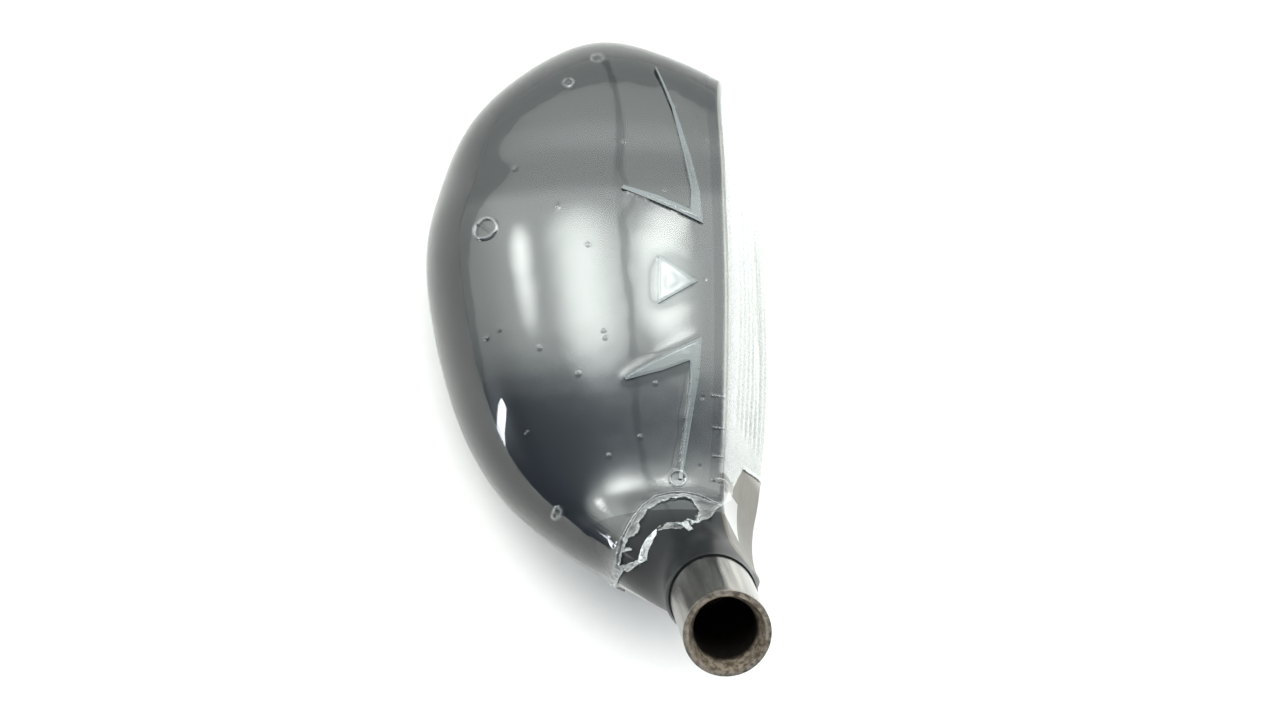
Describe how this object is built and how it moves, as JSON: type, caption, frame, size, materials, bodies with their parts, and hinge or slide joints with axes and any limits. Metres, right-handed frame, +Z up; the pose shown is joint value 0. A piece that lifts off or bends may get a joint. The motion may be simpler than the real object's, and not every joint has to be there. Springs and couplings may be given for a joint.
{
  "type": "hybrid golf club head",
  "caption": "Left-handed hybrid golf club head: hollow steel body, painted crown, brushed lofted face and bare hosel, under torn clear shrink film",
  "frame": {"origin": "middle of the small flat on the sole that the head rests on", "axes": "+X out of the face towards the target, +Y from heel to toe, +Z up"},
  "size_m": [0.0616, 0.1213, 0.0654],
  "materials": {
    "body_shell": "satin cast stainless steel below, dark grey gloss paint on the neck",
    "crown_shell": "high-gloss dark graphite paint",
    "alignment_inlay": "satin graphite, a shade lighter than the crown",
    "face_cup": "brushed heel to toe",
    "hosel_tube": "turned and polished, worn brown at the mouth",
    "bore_plug": "matte",
    "epoxy_residue": "aged amber",
    "weight_pad": "sintered",
    "hot_melt": "translucent amber",
    "weight_insert": "turned",
    "weight_washer": "natural nylon",
    "weight_screw": "satin",
    "sole_badge": "brushed, plain",
    "badge_tape": "adhesive film",
    "shrink_film": "clear, glossy, slightly wavy"
  },
  "bodies": {
    "head": {"body_shell": "body_shell", "crown_shell": "crown_shell", "alignment_inlay": "alignment_inlay", "face_cup": "face_cup", "hosel_tube": "hosel_tube", "bore_plug": "bore_plug", "epoxy_residue": "epoxy_residue", "weight_pad": "weight_pad", "hot_melt": "hot_melt", "weight_insert": "weight_insert", "sole_badge": "sole_badge", "badge_tape": "badge_tape", "shrink_film": "shrink_film"},
    "washer": {"weight_washer": "weight_washer"},
    "screw": {"weight_screw": "weight_screw"}
  },
  "joints": [
    {"name": "weight_travel", "type": "slide", "parent": "head", "child": "washer", "axis": [-0.8192, 0, -0.5736], "range_m": [0, 0.006]},
    {"name": "weight_turn", "type": "hinge", "parent": "washer", "child": "screw", "pos_m": [-0.0326, 0.004, 0.0069], "axis": [-0.8192, 0, -0.5736], "range_deg": [0, 2160]}
  ],
  "couplings": [
    {"joint": "weight_turn", "follows": "weight_travel", "rad_per_m": 6283.2}
  ]
}
